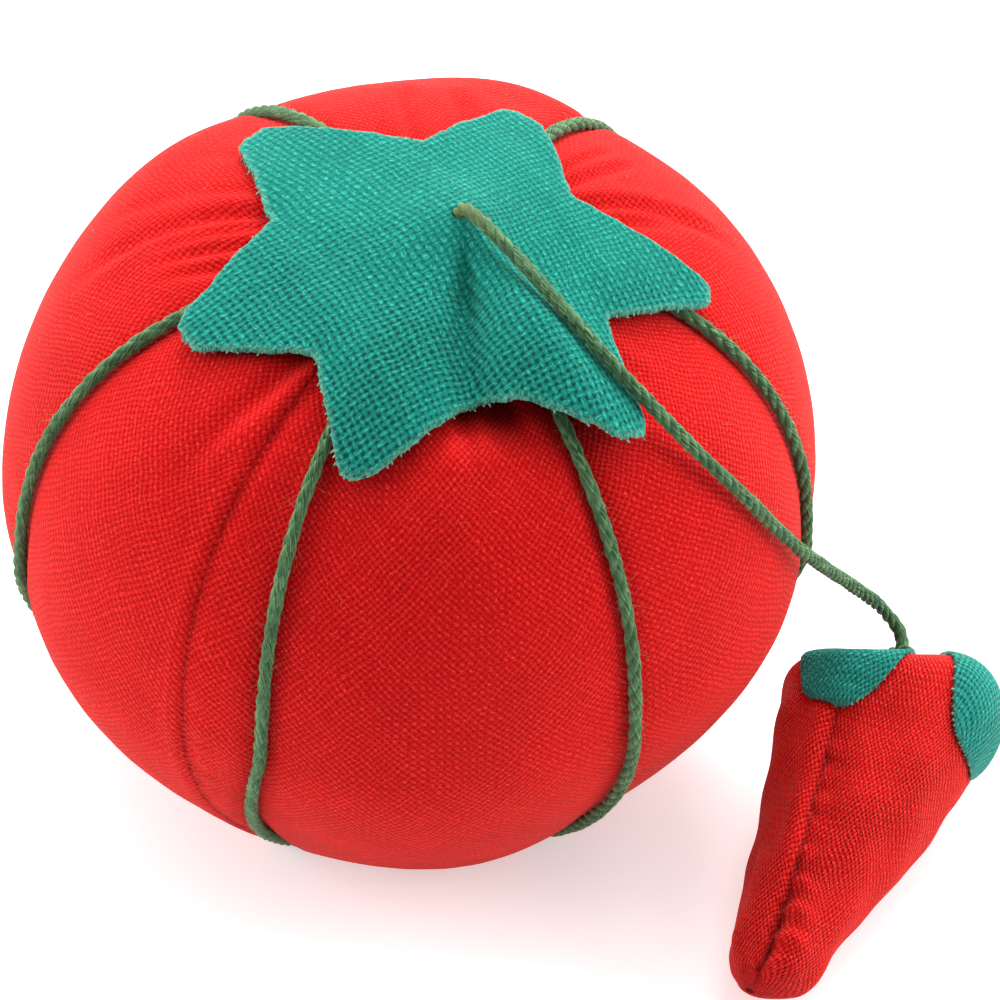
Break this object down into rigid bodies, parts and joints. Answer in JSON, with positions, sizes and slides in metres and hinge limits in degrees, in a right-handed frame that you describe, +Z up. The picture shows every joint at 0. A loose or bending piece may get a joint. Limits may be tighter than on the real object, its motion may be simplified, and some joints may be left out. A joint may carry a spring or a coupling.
{
  "type": "pin cushion",
  "caption": "Round stuffed cloth pin cushion shaped as a tomato, bound by cords, with a cloth star on top and a small emery berry on a tether cord.",
  "frame": {"origin": "middle of the flattened base, on the surface the cushion stands on", "axes": "+Z up through the crown; -Y towards the front; the tethered berry lies on the +X side, front right"},
  "size_m": [0.062, 0.052, 0.0435],
  "materials": {
    "red_cotton": "plain-woven cotton",
    "teal_cotton": "open plain-woven cotton with cut edges",
    "green_cord": "twisted cotton cord",
    "sewing_thread": "cotton sewing thread",
    "stuffing": "loose fibre wadding",
    "emery": "packed fine grit",
    "glue": "set glue"
  },
  "bodies": {
    "cushion": {"tomato_cover": "red_cotton", "tomato_stuffing": "stuffing", "cover_seam_thread": "sewing_thread", "top_gather_thread": "sewing_thread", "bottom_gather_thread": "sewing_thread", "section_cord_1": "green_cord", "section_cord_2": "green_cord", "section_cord_3": "green_cord", "section_cord_4": "green_cord", "section_cord_5": "green_cord", "section_cord_6": "green_cord", "core_cord_strands": "green_cord", "top_cord_knot": "green_cord", "bottom_cord_knot": "green_cord", "star_calyx": "teal_cotton", "star_glue": "glue", "tether_root_knot": "green_cord"},
    "tether": {"tether_cord": "green_cord"},
    "end_knot": {"tether_end_knot": "green_cord"},
    "berry": {"berry_cover": "red_cotton", "berry_filling": "emery", "berry_seam_thread": "sewing_thread", "berry_gather_thread": "sewing_thread", "berry_leaf_cap": "teal_cotton"}
  },
  "joints": [
    {"name": "tether_swing", "type": "hinge", "parent": "cushion", "child": "tether", "pos_m": [0, 0, 0.02], "axis": [0, 0, 1], "range_deg": [-90, 90], "deforming": ["tether_cord"]},
    {"name": "berry_turn", "type": "hinge", "parent": "tether", "child": "end_knot", "pos_m": [0.0307, -0.00347, 0.00774], "axis": [0, 0, 1], "range_deg": [-10, 75]},
    {"name": "berry_tilt", "type": "hinge", "parent": "end_knot", "child": "berry", "pos_m": [0.0307, -0.00347, 0.00774], "axis": [-0.9063, 0.4226, 0], "range_deg": [0, 20]}
  ]
}
